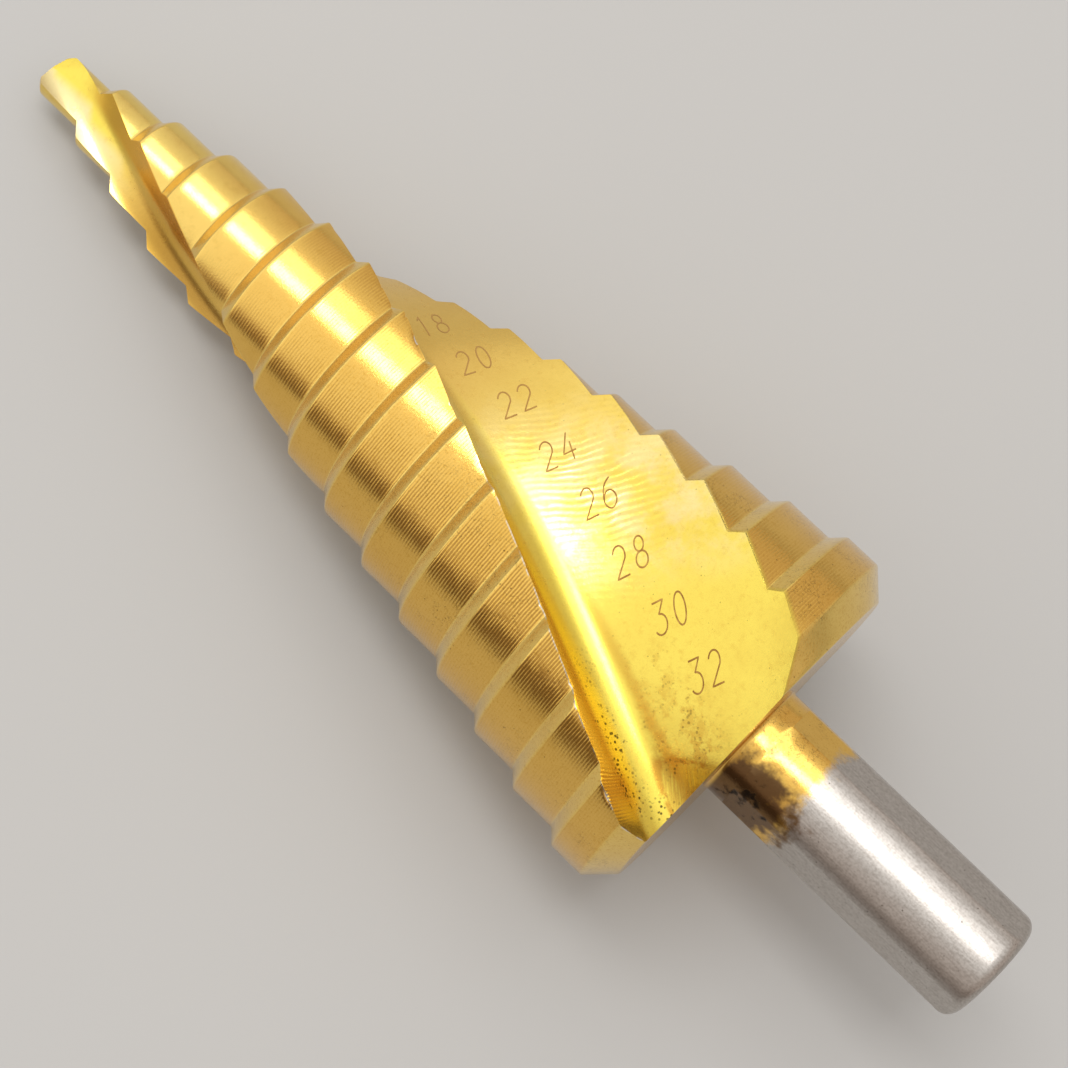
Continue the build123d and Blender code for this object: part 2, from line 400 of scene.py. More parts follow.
def circle_angles_at_rear():
    """Directions about the axis that the points of a body section take on the shank."""
    half = []
    for start, end, count in zip(REAR_SIDE_BOUNDS, REAR_SIDE_BOUNDS[1:], SIDE_COUNTS):
        half += list(start + (end - start) * np.arange(count) / count)
    half = np.array(half)
    return CUTTING_EDGE_ANGLE_REAR + np.concatenate([half, half + 180])


def shank_angles():
    """Directions about the axis with a point on every edge of the flats."""
    half_flat = math.degrees(math.acos(SHANK_FLAT_DISTANCE / SHANK_RADIUS))
    count = 2 * HALF_POINTS // SHANK_FLAT_COUNT
    within = np.arange(2 * HALF_POINTS) % count
    sectors = np.arange(2 * HALF_POINTS) // count
    knots = (0, count // 6, count - count // 6, count)
    angles = (0, half_flat, SHANK_SECTOR - half_flat, SHANK_SECTOR)
    return FIRST_FLAT_ANGLE + sectors * SHANK_SECTOR + np.interp(within, knots, angles)


def flatted_radius(angles, radius):
    half = SHANK_SECTOR / 2
    off_flat = (angles - FIRST_FLAT_ANGLE + half) % SHANK_SECTOR - half
    return np.minimum(radius, SHANK_FLAT_DISTANCE / np.cos(np.radians(off_flat)))


def ring(angles, radius, z):
    bearing = np.radians(angles)
    x, y = radius * np.cos(bearing), radius * np.sin(bearing)
    return np.stack([x, y, np.full(len(angles), z)], 1)


def steps(start, end, count):
    """Evenly spaced values from past the start to the end."""
    return np.linspace(start, end, count + 1)[1:]


def shank_loops(last_section):
    """Loops of the rear face, the collar, the flatted shank and its end."""
    loops = []
    rear_angles = circle_angles_at_rear()
    flat_angles = shank_angles()
    root = ring(rear_angles, SHANK_RADIUS + ROOT_ROUNDING, BODY_LENGTH)
    for share in steps(0, 1, REAR_FACE_LOOPS):
        loops.append(last_section * (1 - share) + root * share)
    for share in (*ROUNDING_SHARES, 1.0):
        bend = math.pi / 2 * share
        radius = SHANK_RADIUS + ROOT_ROUNDING * (1 - math.sin(bend))
        loops.append(ring(rear_angles, radius, BODY_LENGTH + ROOT_ROUNDING * (1 - math.cos(bend))))
    for share in steps(0, 1, COLLAR_LOOPS):
        angles = rear_angles * (1 - share) + flat_angles * share
        z = BODY_LENGTH + ROOT_ROUNDING + (SHANK_COLLAR_LENGTH - ROOT_ROUNDING) * share
        loops.append(ring(angles, SHANK_RADIUS, z))
    for z in np.linspace(SHANK_FLAT_START, TOTAL_LENGTH - SHANK_END_RADIUS, FLAT_LOOPS):
        loops.append(ring(flat_angles, flatted_radius(flat_angles, SHANK_RADIUS), z))
    for bend in steps(0, math.pi / 2, SHANK_END_LOOPS):
        radius = SHANK_RADIUS - SHANK_END_RADIUS * (1 - math.cos(bend))
        z = TOTAL_LENGTH - SHANK_END_RADIUS * (1 - math.sin(bend))
        loops.append(ring(flat_angles, flatted_radius(flat_angles, radius), z))
    end_radius = SHANK_RADIUS - SHANK_END_RADIUS
    for share in END_FACE_SHARES:
        loops.append(ring(flat_angles, end_radius * share, TOTAL_LENGTH))
    return np.array(loops)


# ---------------------------------------------------------------- mesh

def tube_mesh(name, loops, start, end):
    """Closed mesh through loops of points, with one more point at each end."""
    loop_count, point_count = loops.shape[:2]
    first = np.arange(loop_count - 1)[:, None] * point_count
    second = first + point_count
    here = np.arange(point_count)[None, :]
    ahead = (here + 1) % point_count
    quads = np.stack([first + here, first + ahead, second + ahead, second + here], 2)
    quads = quads.reshape(-1, 4).tolist()
    tip = loop_count * point_count
    back = tip + 1
    last = (loop_count - 1) * point_count
    fans = [(tip, (k + 1) % point_count, k) for k in range(point_count)]
    fans += [(back, last + k, last + (k + 1) % point_count) for k in range(point_count)]
    points = np.concatenate([loops.reshape(-1, 3), [start], [end]])
    mesh = bpy.data.meshes.new(name)
    mesh.from_pydata(placed(points).tolist(), [], quads + fans)
    mesh.validate()
    mesh.polygons.foreach_set("use_smooth", np.ones(len(mesh.polygons), bool))
    mesh.set_sharp_from_angle(angle=SHARP_ANGLE)
    return mesh


def write_attribute(mesh, name, values):
    layer = mesh.attributes.new(name, "FLOAT", "POINT")
    layer.data.foreach_set("value", np.asarray(values, np.float32))


def linked(name, mesh, material):
    piece = bpy.data.objects.new(name, mesh)
    bpy.context.scene.collection.objects.link(piece)
    mesh.materials.append(material)
    return piece


# ---------------------------------------------------------------- node helpers

class Nodes:
    """Short calls for building the node tree of one new material or world."""

    def __init__(self, owner):
        owner.use_nodes = True
        self.owner = owner
        self.tree = owner.node_tree
        self.tree.nodes.clear()

    def add(self, kind, values=(), **settings):
        """New node with these settings, and these numbers or links in its inputs."""
        made = self.tree.nodes.new("ShaderNode" + kind)
        for key, value in settings.items():
            setattr(made, key, value)
        for key, value in values.items() if isinstance(values, dict) else enumerate(values):
            if isinstance(value, bpy.types.NodeSocket):
                self.tree.links.new(value, made.inputs[key])
            elif value is not None:
                made.inputs[key].default_value = value
        return made

    def math(self, operation, first, second=None, third=None, clamp=False):
        values = (first, second, third)
        return self.add("Math", values, operation=operation, use_clamp=clamp).outputs[0]

    def product(self, first, *others):
        for value in others:
            first = self.math("MULTIPLY", first, value)
        return first

    def swing(self, noise, reach):
        """Noise taken from its range of 0 to 1 to the range of -reach to reach."""
        return self.math("MULTIPLY_ADD", noise, 2 * reach, -reach)

    def vector(self, operation, first, second=None):
        made = self.add("VectorMath", (first, second), operation=operation)
        return made.outputs["Value" if operation == "LENGTH" else "Vector"]

    def split(self, vector):
        return self.add("SeparateXYZ", (vector,)).outputs

    def join(self, x, y, z):
        return self.add("CombineXYZ", (x, y, z)).outputs[0]

    def noise(self, vector, scale, detail, roughness=0.5):
        values = {"Vector": vector, "Scale": scale, "Detail": detail, "Roughness": roughness}
        return self.add("TexNoise", values).outputs["Fac"]

    def between(self, value, low, high, smooth=True):
        """Goes from 0 at low to 1 at high, of which either may be the smaller."""
        values = {"Value": value, "From Min": low, "From Max": high}
        kind = "SMOOTHSTEP" if smooth else "LINEAR"
        return self.add("MapRange", values, interpolation_type=kind).outputs["Result"]

    def window(self, value, rise, fall):
        """Rises from 0 to 1 over the range rise, and falls to 0 again over the range fall."""
        return self.product(self.between(value, *rise), self.between(value, *reversed(fall)))

    def mix(self, share, first, second):
        """Colour that goes from the first to the second as the share goes from 0 to 1."""
        return self.add("Mix", {0: share, 6: first, 7: second}, data_type="RGBA").outputs[2]

    def lerp(self, share, first, second):
        """Number that goes from the first to the second as the share goes from 0 to 1."""
        return self.add("Mix", {0: share, 2: first, 3: second}, data_type="FLOAT").outputs[0]

    def attribute(self, name):
        return self.add("Attribute", attribute_name=name).outputs["Fac"]

    def bump(self, height, distance, normal=None):
        values = {"Height": height, "Distance": distance, "Normal": normal}
        return self.add("Bump", values).outputs[0]

    def surface(self, **values):
        """The material, finished with one shader that has these values."""
        values = {key.replace("_", " "): value for key, value in values.items()}
        shader = self.add("BsdfPrincipled", values)
        self.add("OutputMaterial", {"Surface": shader.outputs[0]})
        return self.owner


def drill_coordinates(nodes):
    """The drill's own coordinates in mm, from the object's."""
    values = {
        "Vector": nodes.add("TexCoord").outputs["Object"],
        "Location": PLACEMENT.to_translation(),
        "Rotation": PLACEMENT.to_euler(),
        "Scale": (MM, MM, MM),
    }
    return nodes.add("Mapping", values, vector_type="TEXTURE").outputs[0]


# ---------------------------------------------------------------- coated steel

LAND_GOLD = (0.83, 0.515, 0.12, 1)
# painted highlight: the shoulders are painted paler than the lands
SHOULDER_HIGHLIGHT_GOLD = (0.90, 0.63, 0.17, 1)
# painted light: the flute's golds are yellower copies of the land gold, one coating seen brighter
FLUTE_GOLD = (0.88, 0.645, 0.15, 1)
LIT_FLOOR_GOLD = (0.89, 0.70, 0.12, 1)
TAN_GOLD = (0.88, 0.59, 0.15, 1)
# painted highlight: yellower gold in the gutters
GUTTER_HIGHLIGHT_GOLD = (0.94, 0.75, 0.12, 1)
# deep gold: for clouds, grains, stains, hatching and the fold, and as painted shade in the ring
# grooves, near the tip and on the rear facet
DEEP_GOLD = (0.62, 0.34, 0.045, 1)
# painted shade: brown on the rake face under the cutting edge
HOOK_SHADE_BROWN = (0.68, 0.44, 0.15, 1)
# pale gold: a painted sheen by the tip's cutting edges, and over the floor's marks, where it is
# partly wear
PALE_GOLD = (0.93, 0.77, 0.38, 1)
TIP_GOLD = (0.91, 0.67, 0.19, 1)
STEEL = (0.56, 0.525, 0.49, 1)
DARK_STEEL = (0.32, 0.285, 0.255, 1)
WORN_STEEL = (0.78, 0.74, 0.66, 1)
DIRT = (0.05, 0.03, 0.012, 1)
BURNT_RIM = (0.17, 0.095, 0.04, 1)
BURNT = (0.022, 0.014, 0.009, 1)

LAND_ROUGHNESS = 0.16
FLUTE_ROUGHNESS = 0.25
STEEL_ROUGHNESS = 0.33
BURNT_ROUGHNESS = 0.55
ROUGHNESS_SWING = 0.07

# Relief: pitches and reaches in mm, depths in m
RING_PITCH = 0.236
RING_DEPTH = 9e-6
RING_WOBBLE = 0.10
CUTTER_MARK_PITCH = 0.56
CUTTER_MARK_DEPTH = 12e-6
CUTTER_MARK_SLOPE = 0.6
CUTTER_MARK_BEND = (0.8, -6.7, 0.2)  # radians for each mm across, radians at zero, and reach
CUTTER_MARK_WANDER = 0.9
HATCH_SLOPE = 0.25
HATCH_DEPTH = 6e-6
STREAK_SLOPE = 0.6
STREAK_SQUEEZE = 0.12
STREAK_DEPTH = 16e-6
GRAIN_DEPTH = 8e-6

# Where a look starts along the drill and where it is whole, mm from the tip
ALONG = {
    "tip_lands": (30, 10),
    "tip_flute": (26, 14),
    "tip_gutter": (14, 6),
    "tip_heel": (2.5, 6),
    "tip_pale": (13, 7),
    "behind_tip": (9, 17),
    "tan_floor": (50, 40),
    "gutter_highlight": (38, 60),
    "hook": (30, 48),
    "hook_end": (75, 72),
    "rings": (20, 55),
    "grains": (20, 40),
    "specks": (24, 60),
    "scrawl": (30, 60),
    "edge_rim": (44, 56),
    "edge_rim_end": (76.1, 76.0),
    "fold": (52, 68),
    "pitted_wall": (60, 70),
    "stains": (63, 75),
    "scorch": (BODY_LENGTH + 0.1, BODY_LENGTH + 0.5),
}
# where the floor turns to the yellower lit gold, as painted light
LIT_FLOOR = (50, 66)  # the same, shifted by the clouds
LIT_FLOOR_SHIFT = 6
CUTTER_MARKS = ((40, 52), (58, 64))  # coming in and going out, along their slanted line
# where the floor's marks are paler: partly wear, partly a painted sheen
PALE_MARKS = ((40, 52), (55, 61))
COATING_END = (81.5, 82.8)
COATING_END_SWING = 1.7
BURNT_PLACE = (78.4, 46.0)  # distance from the tip, mm, and direction about the axis, degrees
BURNT_SIZE = (4.2, 46.0)  # from its middle to its outline
BURNT_SWING = 1.0

# Across the floor from its inner corner, mm
FULL_MARKS_ACROSS = (3, 7)
TIP_HEEL_ACROSS = (1.2, 2.4)
STAINS_ACROSS = ((0.4, 1.6), (4.0, 8.0))
FOLD_ACROSS = ((1.0, 1.7), (1.8, 2.6))
HOOK_ACROSS = (0.6, -0.5)
HOOK_SLOPE = 0.035

# From the cutting edge, mm
# where the painted highlight in the gutter starts and is whole
GUTTER_HIGHLIGHT_FROM_EDGE = (0.5, 1.6)
TIP_PALE_FROM_EDGE = (2.2, 1.0)
RIM_FROM_EDGE = (0.16, 0.06)
PITS_FROM_EDGE = ((2.2, 3.0), (4.0, 5.2))

# Shares of the facet's look at the rear: its front edge, and where it is streaked
FAN_FRONT = ((0.05, 0.4), (0.6, 1.0))
FAN_STREAKED = (0.4, 1.0)

# Noise: cells in each mm, octaves, roughness
FINE_NOISE = (1.6, 3.0, 0.6)
PATCH_NOISE = (0.8, 4.0, 0.65)
WOBBLE_NOISE = (0.7, 2.0, 0.5)
WANDER_NOISE = (0.35, 2.0, 0.5)
STREAK_NOISE = (4.5, 4.0, 0.7)
COATING_END_NOISE = (0.5, 4.0, 0.65)
BURNT_NOISE = (0.75, 3.0, 0.55)
SCRAWL_NOISE = (0.9, 5.0, 0.6)
GRAIN_NOISE = (5.0, 4.0, 0.65)
STEEL_GRAIN_NOISE = (1.0, 3.0, 0.6)
STEEL_GRAIN_SCALE = (9, 9, 0.9)

# Patches: cells in each mm, octaves, roughness, and the levels that they rise between
PATCHES = {
    "clouds": (0.16, 4.0, 0.6, 0.42, 0.75),
    "pale_marks": (0.35, 4.0, 0.65, 0.35, 0.65),
    "rings": (0.9, 3.0, 0.5, 0.3, 0.65),
    "cutter_marks": (0.5, 2.0, 0.5, 0.35, 0.6),
    "grains": (5.5, 3.0, 0.7, 0.52, 0.66),
    "edge_rim": (1.3, 3.0, 0.5, 0.42, 0.55),
    "pits": (0.9, 3.0, 0.6, 0.42, 0.52),
    "specks": (0.4, 3.0, 0.6, 0.46, 0.6),
    "scrawl": (0.23, 2.0, 0.5, 0.48, 0.58),
    "steel": (5.0, 3.0, 0.7, 0.4, 0.65),
}
# Small dark dots: cells in each mm, and the distances from a cell's middle that they fade between
PIT_DOTS = (3.2, 0.44, 0.27)
SPECK_DOTS = (1.7, 0.13, 0.05)
NOISE_MIDDLE = 0.5
WORN_SWING = 0.3

# Levels of a pattern or height at which a look starts and is whole
LEVELS = {
    "hatch": (0.1, 1.8),
    # painted shade in the grooves of the rings
    "valley_shade": (0.1, -1.0),
    "mottles": (0.5, 0.8),
    "stains": (0.46, 0.6),
    "streaks": (0.35, 0.65),
    "facet_front": (0.35, 0.55),
    "steel_grain": (0.3, 0.7),
    "worn": (0.4, 0.8),
    "scrawl": (0.010, 0.003),
    "burnt_rim": (-0.3, 0.3),
    "burnt_core": (0.62, 0.95),
}
# How strong a look is where it is whole
STRENGTHS = {
    "pale_marks": 0.75,
    "behind_tip": 0.85,
    "tip_shade": 0.85,
    "clouds": 0.22,
    "mottles": 0.22,
    "valley_shade": 0.2,
    "stains": 0.6,
    "fold": 0.6,
    "steel_grain": 0.4,
    "edge_rim": 0.7,
    "pits": 0.85,
    "pitted_stains": 0.7,
}
# How strong a look is where what it depends on is none, and where that is whole
SPANS = {
    "rings": (0.5, 1.0),
    "cutter_marks": (0.3, 1.0),
    "marks_across": (0.35, 1.0),
    "grains": (0.55, 0.12),
    "facet": (0.3, 0.75),
    "specks": (0.85, 0.4),
    "scrawl": (0.5, 0.0),
}

# What is written on the mesh: shares of a part of the surface, and distances in mm
MESH_FACTS = ("rings", "shoulder", "floor", "gutter", "worn", "across", "from_edge", "fan")


class Coating(Nodes):
    """Nodes of the coated steel, with the places and patterns that its looks share."""

    def __init__(self):
        super().__init__(bpy.data.materials.new("coated_steel"))
        self.place = drill_coordinates(self)
        self.x, self.y, self.z = self.split(self.place)
        for name in MESH_FACTS:
            setattr(self, name, self.attribute(name))
        self.flute = self.math("ADD", self.floor, self.gutter, clamp=True)
        self.slant = self.math("MULTIPLY_ADD", self.across, -CUTTER_MARK_SLOPE, self.z)
        self.fine = self.noise(self.place, *FINE_NOISE)
        self.patch = self.noise(self.place, *PATCH_NOISE)
        self.clouds = self.patches("clouds")

    def along(self, name, smooth=True):
        return self.between(self.z, *ALONG[name], smooth=smooth)

    def patches(self, name):
        *noise, low, high = PATCHES[name]
        return self.between(self.noise(self.place, *noise), low, high)

    def dots(self, scale, outside, inside):
        cells = self.add("TexVoronoi", {"Vector": self.place, "Scale": scale}, feature="F1")
        return self.between(cells.outputs["Distance"], outside, inside)

    def level(self, name, value):
        return self.between(value, *LEVELS[name])

    def span(self, name, share):
        return self.lerp(share, *SPANS[name])

    def look(self, name, *shares):
        return self.product(*shares, STRENGTHS[name])

    def deepened(self, gold, *shares):
        """Colour with each of these shares of it turned to deep gold."""
        for share in shares:
            gold = self.mix(share, gold, DEEP_GOLD)
        return gold


def turning_rings(n):
    """Height of the fine rings on the lands, stronger towards the shank."""
    wobble = n.product(n.noise(n.place, *WOBBLE_NOISE), RING_WOBBLE)
    phase = n.product(n.math("ADD", n.z, wobble), 2 * math.pi / RING_PITCH)
    patchy = n.span("rings", n.patches("rings"))
    strength = n.product(n.rings, n.along("rings", smooth=False), patchy)
    return n.product(n.math("SINE", phase), strength)


def cutter_marks(n):
    """Height of the wavy marks that the flute's cutter left across the floor."""
    turn, start, reach = CUTTER_MARK_BEND
    bend = n.product(n.math("SINE", n.math("MULTIPLY_ADD", n.across, turn, start)), reach)
    wander = n.product(n.noise(n.place, *WANDER_NOISE), CUTTER_MARK_WANDER)
    line = n.math("ADD", n.math("ADD", n.slant, bend), wander)
    waves = n.math("SINE", n.product(line, 2 * math.pi / CUTTER_MARK_PITCH))
    patchy = n.span("cutter_marks", n.patches("cutter_marks"))
    across = n.span("marks_across", n.between(n.across, *FULL_MARKS_ACROSS))
    patchy = n.product(patchy, across)
    return n.product(waves, n.product(n.window(line, *CUTTER_MARKS), patchy, n.floor))


def hook_share(n):
    """Where the rake face stands under the cutting edge."""
    up_the_wall = n.between(n.math("MULTIPLY_ADD", n.z, HOOK_SLOPE, n.across), *HOOK_ACROSS)
    return n.product(n.gutter, up_the_wall, n.along("hook"), n.along("hook_end"))


def hook_hatch(n, hook):
    """Height of the fine hatching across the rake face, at the pitch of the rings."""
    line = n.math("MULTIPLY_ADD", n.from_edge, -HATCH_SLOPE, n.z)
    return n.product(n.math("SINE", n.product(line, 2 * math.pi / RING_PITCH)), hook)


def fan_streaks(n):
    """Streaks that run out over the facet at the rear of the flute."""
    line = n.math("MULTIPLY_ADD", n.z, STREAK_SLOPE, n.across)
    return n.noise(n.join(line, n.product(n.z, STREAK_SQUEEZE), 0.0), *STREAK_NOISE)


def stained_share(n):
    """Where the floor is stained beside the gutter at the rear."""
    across = n.window(n.across, *STAINS_ACROSS)
    return n.product(across, n.flute, n.along("stains"), n.level("stains", n.patch))


def burnt_level(n):
    """Above zero near the middle of the scorched patch on the shank, with a ragged outline."""
    turn = n.product(n.math("ARCTAN2", n.y, n.x), 180 / math.pi)
    along, around = (
        n.math("DIVIDE", n.math("SUBTRACT", value, middle), size)
        for value, middle, size in zip((n.z, turn), BURNT_PLACE, BURNT_SIZE)
    )
    distance = n.vector("LENGTH", n.join(along, around, 0.0))
    ragged = n.swing(n.noise(n.place, *BURNT_NOISE), BURNT_SWING)
    return n.math("SUBTRACT", 1.0, n.math("ADD", distance, ragged))


def plain_gold(n):
    """Colour of the lands, shoulders and flute floor, with painted light: paler shoulders, a
    yellower rear floor, and the floor's marks paler, partly worn and partly a painted sheen.
    """
    land = n.mix(n.along("tip_lands"), LAND_GOLD, TIP_GOLD)
    # painted highlight: paler gold on the shoulders
    land = n.mix(n.shoulder, land, SHOULDER_HIGHLIGHT_GOLD)
    shifted = n.math("ADD", n.z, n.product(n.clouds, LIT_FLOOR_SHIFT))
    floor = n.mix(n.along("tan_floor"), FLUTE_GOLD, TAN_GOLD)
    # painted light: the rear floor turns to a yellower lit gold
    floor = n.mix(n.between(shifted, *LIT_FLOOR), floor, LIT_FLOOR_GOLD)
    # partly wear, partly a painted sheen over the floor's marks
    pale = n.look("pale_marks", n.window(n.slant, *PALE_MARKS), n.patches("pale_marks"))
    return n.mix(n.flute, land, n.mix(pale, floor, PALE_GOLD))


def gutter_gold(n, gold, hook, hatch):
    """Colour with a painted highlight in the gutter, and painted shade on the hatched rake face
    above it.
    """
    # painted highlight in the gutter
    highlight_share = n.product(n.gutter, n.between(n.from_edge, *GUTTER_HIGHLIGHT_FROM_EDGE), n.along("gutter_highlight"))
    gold = n.mix(highlight_share, gold, GUTTER_HIGHLIGHT_GOLD)
    # painted shade on the rake face
    gold = n.mix(hook, gold, HOOK_SHADE_BROWN)
    return n.deepened(gold, n.level("hatch", hatch))


def tip_gold(n, gold):
    """Colour of the flutes near the tip: painted highlights in front and by the edge, painted shade
    behind and by the heel.
    """
    tip = n.product(n.flute, n.along("tip_flute"))
    heel_side = n.product(n.between(n.across, *TIP_HEEL_ACROSS), n.along("tip_heel"))
    behind_tip = n.look("behind_tip", n.along("behind_tip"))
    # painted shade behind the tip and on the heel side of the flutes
    painted_tip_shade = n.look("tip_shade", tip, n.math("MAXIMUM", heel_side, behind_tip))
    # painted highlight: pale gold beside the cutting edge
    pale = n.product(tip, n.between(n.from_edge, *TIP_PALE_FROM_EDGE), n.along("tip_pale"))
    # painted highlight: yellower gutter gold at the very tip
    gold = n.mix(n.product(tip, n.along("tip_gutter")), gold, GUTTER_HIGHLIGHT_GOLD)
    gold = n.deepened(gold, painted_tip_shade)
    return n.mix(pale, gold, PALE_GOLD)


def clouded_gold(n, gold, ring_height):
    """Colour that is deeper in clouds, mottles and grains, with painted shade in the grooves of the
    rings.
    """
    clouds = n.look("clouds", n.clouds)
    mottles = n.look("mottles", n.level("mottles", n.fine))
    grains = n.product(n.patches("grains"), n.span("grains", n.flute), n.along("grains"))
    # painted shade: deep gold in the grooves of the turned rings
    valley_shade = n.look("valley_shade", n.level("valley_shade", ring_height))
    return n.deepened(gold, clouds, mottles, grains, valley_shade)


def rear_gold(n, gold, streaks, stained):
    """Colour with painted shade on the streaked facet, the stains and the dark fold of the flute's
    rear end.
    """
    # painted shade on the facet, in streaks and in patches along its front edge
    facet_shade = n.product(n.fan, n.span("facet", n.level("streaks", streaks)))
    front = n.product(n.window(n.fan, *FAN_FRONT), n.level("facet_front", n.patch))
    fold = n.look("fold", n.window(n.across, *FOLD_ACROSS), n.flute, n.along("fold"))
    return n.deepened(gold, n.math("MAXIMUM", facet_shade, front), n.look("stains", stained), fold)


def bare_steel(n):
    """Colour of the ground steel, with grain along the shank."""
    grain = n.noise(n.vector("MULTIPLY", n.place, STEEL_GRAIN_SCALE), *STEEL_GRAIN_NOISE)
    grain = n.math("ADD", n.level("steel_grain", grain), n.patches("steel"))
    return n.mix(n.look("steel_grain", grain), STEEL, DARK_STEEL)


def worn_edges(n, colour):
    """Colour with steel that shows in the chips and along the rim of the cutting edge."""
    worn = n.level("worn", n.math("ADD", n.worn, n.swing(n.fine, WORN_SWING)))
    near_edge = n.product(n.between(n.from_edge, *RIM_FROM_EDGE), n.patches("edge_rim"))
    rim = n.look("edge_rim", near_edge, n.along("edge_rim"), n.along("edge_rim_end"))
    return n.mix(rim, n.mix(worn, colour, WORN_STEEL), WORN_STEEL)


def dirtied(n, colour, stained, bare):
    """Colour with pits in the flute, specks all over and thin scrawls on the lands."""
    wall = n.product(n.window(n.from_edge, *PITS_FROM_EDGE), n.gutter, n.along("pitted_wall"))
    pit_area = n.math("MAXIMUM", wall, n.look("pitted_stains", stained))
    pits = n.look("pits", n.dots(*PIT_DOTS), n.patches("pits"), pit_area)
    specks = n.product(n.dots(*SPECK_DOTS), n.patches("specks"), n.along("specks"))
    specks = n.product(specks, n.span("specks", n.flute))
    wander = n.math("SUBTRACT", n.noise(n.place, *SCRAWL_NOISE), NOISE_MIDDLE)
    scrawl = n.level("scrawl", n.math("ABSOLUTE", wander))
    scrawl = n.product(scrawl, n.patches("scrawl"), n.along("scrawl"))
    scrawl = n.product(scrawl, n.span("scrawl", n.math("ADD", bare, n.flute, clamp=True)))
    for share in (pits, specks, scrawl):
        colour = n.mix(share, colour, DIRT)
    return colour


def relief(n, ring_height, hatch, streaks):
    """Normal with the rings, cutter marks, hatching, streaks and fine grain."""
    heights = (
        (ring_height, RING_DEPTH),
        (cutter_marks(n), CUTTER_MARK_DEPTH),
        (hatch, HATCH_DEPTH),
        (n.product(streaks, n.between(n.fan, *FAN_STREAKED)), STREAK_DEPTH),
        (n.noise(n.place, *GRAIN_NOISE), GRAIN_DEPTH),
    )
    normal = None
    for height, depth in heights:
        normal = n.bump(height, depth, normal)
    return normal


def coated_steel():
    n = Coating()
    ring_height = turning_rings(n)
    hook = hook_share(n)
    hatch = hook_hatch(n, hook)
    streaks = fan_streaks(n)
    stained = stained_share(n)

    gold = gutter_gold(n, plain_gold(n), hook, hatch)
    gold = clouded_gold(n, tip_gold(n, gold), ring_height)
    gold = rear_gold(n, gold, streaks, stained)

    ragged = n.swing(n.noise(n.place, *COATING_END_NOISE), COATING_END_SWING)
    bare = n.between(n.math("ADD", n.z, ragged), *COATING_END)
    colour = n.mix(bare, gold, bare_steel(n))

    burnt = burnt_level(n)
    rim_share, core_share = (
        n.product(n.level(name, burnt), n.along("scorch")) for name in ("burnt_rim", "burnt_core")
    )
    colour = n.mix(rim_share, colour, BURNT_RIM)
    colour = n.mix(core_share, colour, BURNT)
    colour = dirtied(n, worn_edges(n, colour), stained, bare)

    roughness = n.lerp(n.flute, LAND_ROUGHNESS, FLUTE_ROUGHNESS)
    roughness = n.math("ADD", roughness, n.swing(n.fine, ROUGHNESS_SWING))
    roughness = n.lerp(bare, roughness, STEEL_ROUGHNESS)
    roughness = n.lerp(core_share, roughness, BURNT_ROUGHNESS)
    normal = relief(n, ring_height, hatch, streaks)
    return n.surface(Base_Color=colour, Metallic=1.0, Roughness=roughness, Normal=normal)


# ---------------------------------------------------------------- the drill

WORN_REACH = 0.2  # mm from the cutting edge
WORN_CHIP_DEPTH = 0.08


def drill_piece(material):
    body, facts = body_loops()
    shank = shank_loops(body[-1])
    loops = np.concatenate([body, shank])
    mesh = tube_mesh("drill_surface", loops, (0, 0, NOSE_START), (0, 0, TOTAL_LENGTH))
    near = np.exp(-((facts["from_edge"] / WORN_REACH) ** 2))
    facts["worn"] = near * np.clip(facts["chip"] / WORN_CHIP_DEPTH, 0, 1)
    beyond_body = len(mesh.vertices) - body.shape[0] * body.shape[1]
    for name in MESH_FACTS:
        elsewhere = np.full(beyond_body, FAR_FROM_EDGE if name == "from_edge" else 0.0)
        write_attribute(mesh, name, np.concatenate([facts[name], elsewhere]))
    piece = linked("drill_surface", mesh, material)
    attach(piece, "root")
    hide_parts("step_drill")


# ---------------------------------------------------------------- size marks

MARK_HEIGHT = 2.1
MARK_WIDTH = 1.15
MARK_ADVANCE = 1.8
MARK_STROKE = 0.125
MARK_LIFT = 0.008
MARK_POINT_SPACING = 0.12
MARK_SLOPE = math.radians(18)  # of a mark's line, from straight across the floor towards the shank
# size, distance from the tip, distance across the floor from the inner corner
SIZE_MARKS = (
    (18, 36.8, 4.7),
    (20, 41.4, 5.2),
    (22, 46.2, 5.6),
    (24, 51.4, 5.8),
    (26, 56.2, 6.4),
    (28, 61.0, 6.2),
    (30, 66.0, 6.9),
    (32, 70.8, 7.5),
)
MARK_BROWN = (0.30, 0.14, 0.025, 1)
MARK_TAN = (0.48, 0.27, 0.06, 1)
FRONT_MARK_TAN = (0.46, 0.26, 0.07, 1)
FRONT_MARKS = (56, 38)  # mm from the tip
MARK_NOISE = (2.2, 3.0)
MARK_NOISE_LEVELS = (0.35, 0.7)
MARK_METALLIC = 0.6
MARK_ROUGHNESS = (0.45, 0.65)


def bow(centre_x, centre_y, half_width, half_height, start, end, steps):
    """Points along part of an ellipse, angles in degrees counter-clockwise from +x."""
    angles = np.radians(np.linspace(start, end, steps))
    return [
        (centre_x + half_width * math.cos(a), centre_y + half_height * math.sin(a)) for a in angles
    ]


